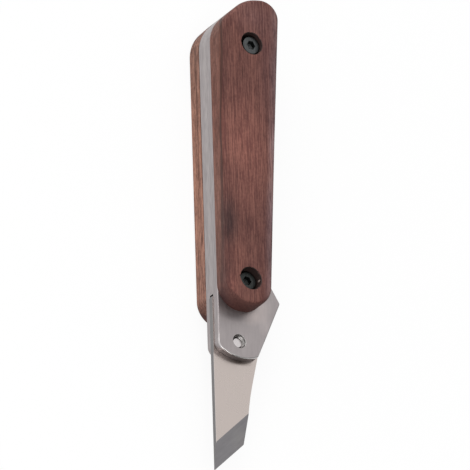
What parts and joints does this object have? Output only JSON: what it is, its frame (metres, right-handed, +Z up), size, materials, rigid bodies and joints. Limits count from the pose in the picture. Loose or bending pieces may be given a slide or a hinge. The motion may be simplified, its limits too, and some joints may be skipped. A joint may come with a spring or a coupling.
{
  "type": "folding leather paring knife",
  "caption": "Folding paring knife for leather: a short skew blade turns on a friction pivot between steel plates with a finger guard and wooden grip scales.",
  "frame": {"origin": "on the flat outer face of the back scale, half way between that scale's two screws", "axes": "+X from the spine to the palm side, +Y from the blade to the butt, +Z up out of the front scale's face; the knife lies open on its back scale"},
  "size_m": [0.0264, 0.1848, 0.0232],
  "materials": {
    "wood": "oiled, fine straight grain, slightly worn",
    "plate_steel": "ground, with fine brush marks",
    "blade_steel": "fine ground faces and a darker ground bevel",
    "bright_steel": "turned, bright",
    "black_oxide": "blackened steel, slightly oily",
    "bronze": "plain rolled sheet"
  },
  "bodies": {
    "handle": {"front_scale": "wood", "back_scale": "wood", "front_plate": "plate_steel", "back_plate": "plate_steel", "spine_spacer": "plate_steel", "pivot_screw": "bright_steel", "front_washer": "bronze", "back_washer": "bronze", "front_lower_screw": "black_oxide", "front_upper_screw": "black_oxide", "back_lower_screw": "black_oxide", "back_upper_screw": "black_oxide", "lower_rivet": "bright_steel", "middle_rivet": "bright_steel", "upper_rivet": "bright_steel", "butt_rivet": "bright_steel"},
    "blade": {"blade": "blade_steel"}
  },
  "joints": [
    {"name": "blade_pivot", "type": "hinge", "parent": "handle", "child": "blade", "pos_m": [-0.00285, -0.0689, 0.01162], "axis": [0, 0, 1], "range_deg": [0, 180]}
  ]
}
